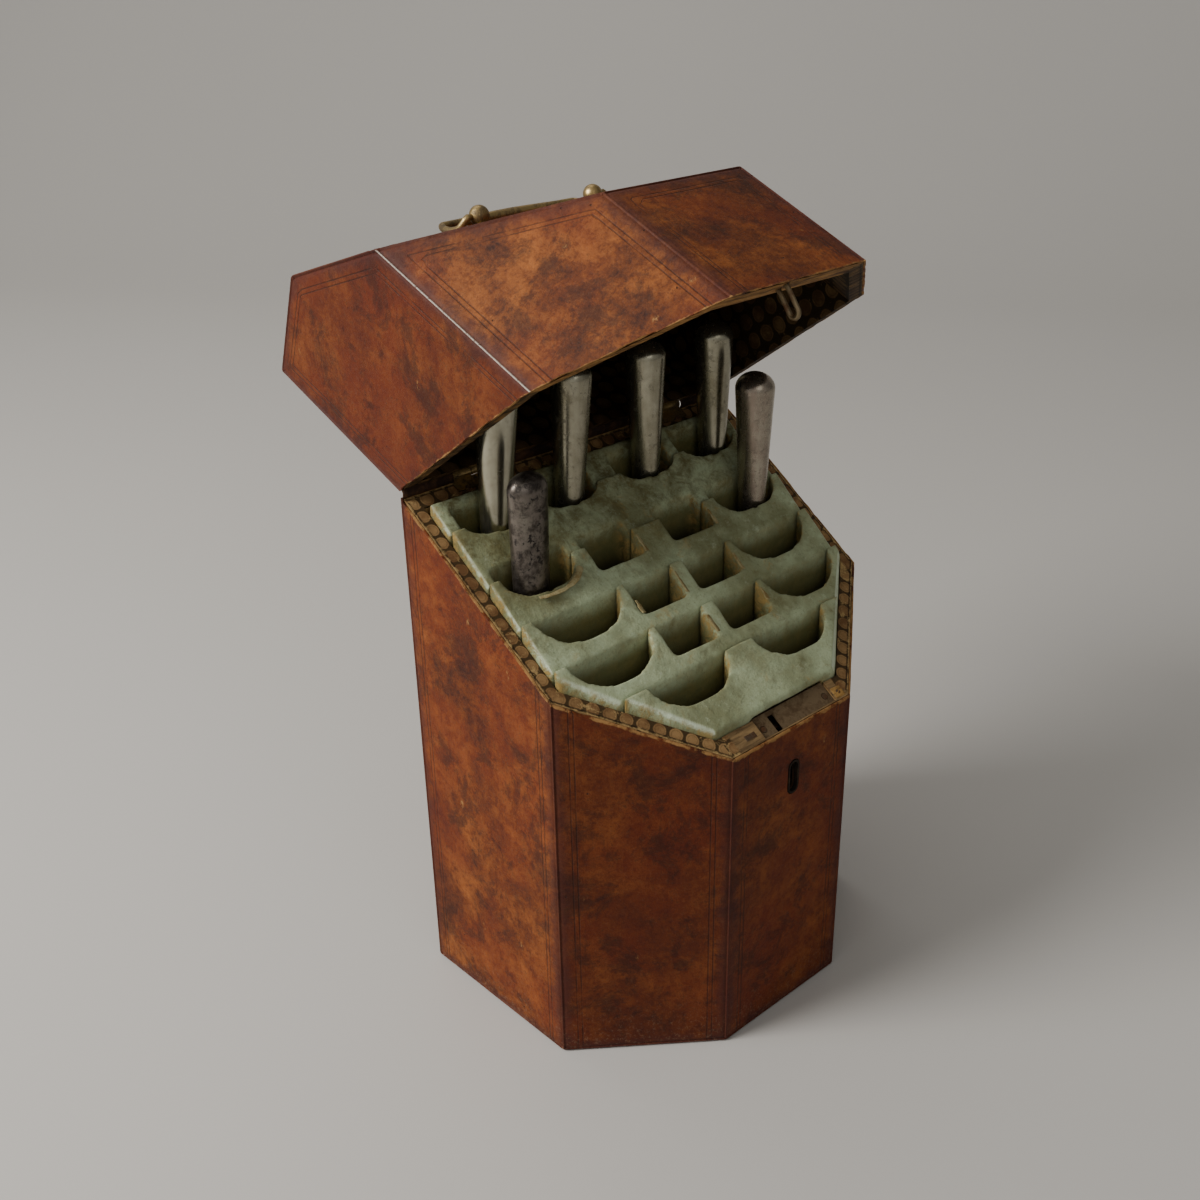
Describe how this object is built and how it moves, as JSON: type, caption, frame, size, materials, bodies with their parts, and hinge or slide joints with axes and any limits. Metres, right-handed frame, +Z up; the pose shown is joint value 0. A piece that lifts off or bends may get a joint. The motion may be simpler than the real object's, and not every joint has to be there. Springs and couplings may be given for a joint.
{
  "type": "cutlery case",
  "caption": "Leather-covered cutlery case with canted front corners, a sloping mouth, a hinged lid with bail handle, a stepped tray and upright knives.",
  "frame": {"origin": "middle of the underside of the base, where the case rests", "axes": "+Z up, +X to the right of the case, the canted front with the keyhole faces -Y"},
  "size_m": [0.2, 0.2376, 0.3917],
  "materials": {
    "calf_leather": "mottled calf, worn satin",
    "deal_board": "planed softwood, unfinished",
    "printed_paper": "matte paper printed with discs",
    "base_paper": "plain dark paper",
    "sage_tray": "wood covered with matte sage green paper",
    "old_brass": "aged brass, dull polish",
    "dark_iron": "darkened iron",
    "worn_silver": "worn silver with yellowish tarnish",
    "tarnished_silver": "dark spotted tarnish",
    "blade_steel": "plain polished steel"
  },
  "bodies": {
    "case": {"back_board": "deal_board", "left_board": "deal_board", "right_board": "deal_board", "left_cant_board": "deal_board", "right_cant_board": "deal_board", "front_board": "deal_board", "base_board": "deal_board", "base_cover": "base_paper", "case_leather": "calf_leather", "rim_paper": "printed_paper", "tray_strip_1": "sage_tray", "tray_strip_2": "sage_tray", "tray_strip_3": "sage_tray", "tray_strip_4": "sage_tray", "tray_strip_5": "sage_tray", "tray_strip_6": "sage_tray", "tray_floor": "sage_tray", "tray_ledge_left": "deal_board", "tray_ledge_right": "deal_board", "lock_case": "dark_iron", "lock_selvage": "dark_iron", "lock_screw_left": "dark_iron", "lock_screw_right": "dark_iron", "keyhole_liner": "old_brass", "hinge_case_leaf_left": "old_brass", "hinge_case_leaf_right": "old_brass", "hinge_pin_left": "dark_iron", "hinge_pin_right": "dark_iron"},
    "lid": {"lid_back_board": "deal_board", "lid_left_board": "deal_board", "lid_right_board": "deal_board", "lid_left_cant_board": "deal_board", "lid_right_cant_board": "deal_board", "lid_front_board": "deal_board", "lid_slope_board": "deal_board", "lid_top_board": "deal_board", "lid_leather": "calf_leather", "lid_lining": "printed_paper", "staple": "dark_iron", "hinge_lid_leaf_left": "old_brass", "hinge_lid_leaf_right": "old_brass", "bail_post_left": "old_brass", "bail_post_right": "old_brass"},
    "bail": {"bail": "old_brass"},
    "bolt": {"lock_bolt": "dark_iron"},
    "knife_1": {"knife_1_handle": "worn_silver", "knife_1_blade": "blade_steel"},
    "knife_2": {"knife_2_handle": "worn_silver", "knife_2_blade": "blade_steel"},
    "knife_3": {"knife_3_handle": "worn_silver", "knife_3_blade": "blade_steel"},
    "knife_4": {"knife_4_handle": "worn_silver", "knife_4_blade": "blade_steel"},
    "knife_5": {"knife_5_handle": "tarnished_silver", "knife_5_blade": "blade_steel"},
    "knife_6": {"knife_6_handle": "worn_silver", "knife_6_blade": "blade_steel"}
  },
  "joints": [
    {"name": "lid_hinge", "type": "hinge", "parent": "case", "child": "lid", "pos_m": [0, 0.07588, 0.25818], "axis": [-1, 0, 0], "range_deg": [-69.5, 0]},
    {"name": "bail_swing", "type": "hinge", "parent": "lid", "child": "bail", "pos_m": [0, 0.09366, 0.36636], "axis": [1, 0, 0], "range_deg": [0, 180]},
    {"name": "bolt_throw", "type": "slide", "parent": "case", "child": "bolt", "axis": [1, 0, 0], "range_m": [-0.005, 0]},
    {"name": "knife_1_slide", "type": "slide", "parent": "case", "child": "knife_1", "axis": [0.0698, 0, 0.9976], "range_m": [0, 0.055]},
    {"name": "knife_2_slide", "type": "slide", "parent": "case", "child": "knife_2", "axis": [0.0523, 0, 0.9986], "range_m": [0, 0.055]},
    {"name": "knife_3_slide", "type": "slide", "parent": "case", "child": "knife_3", "axis": [0, 0, 1], "range_m": [0, 0.055]},
    {"name": "knife_4_slide", "type": "slide", "parent": "case", "child": "knife_4", "axis": [0, 0, 1], "range_m": [0, 0.055]},
    {"name": "knife_5_slide", "type": "slide", "parent": "case", "child": "knife_5", "axis": [0, 0, 1], "range_m": [0, 0.055]},
    {"name": "knife_6_slide", "type": "slide", "parent": "case", "child": "knife_6", "axis": [0, 0, 1], "range_m": [0, 0.055]}
  ]
}
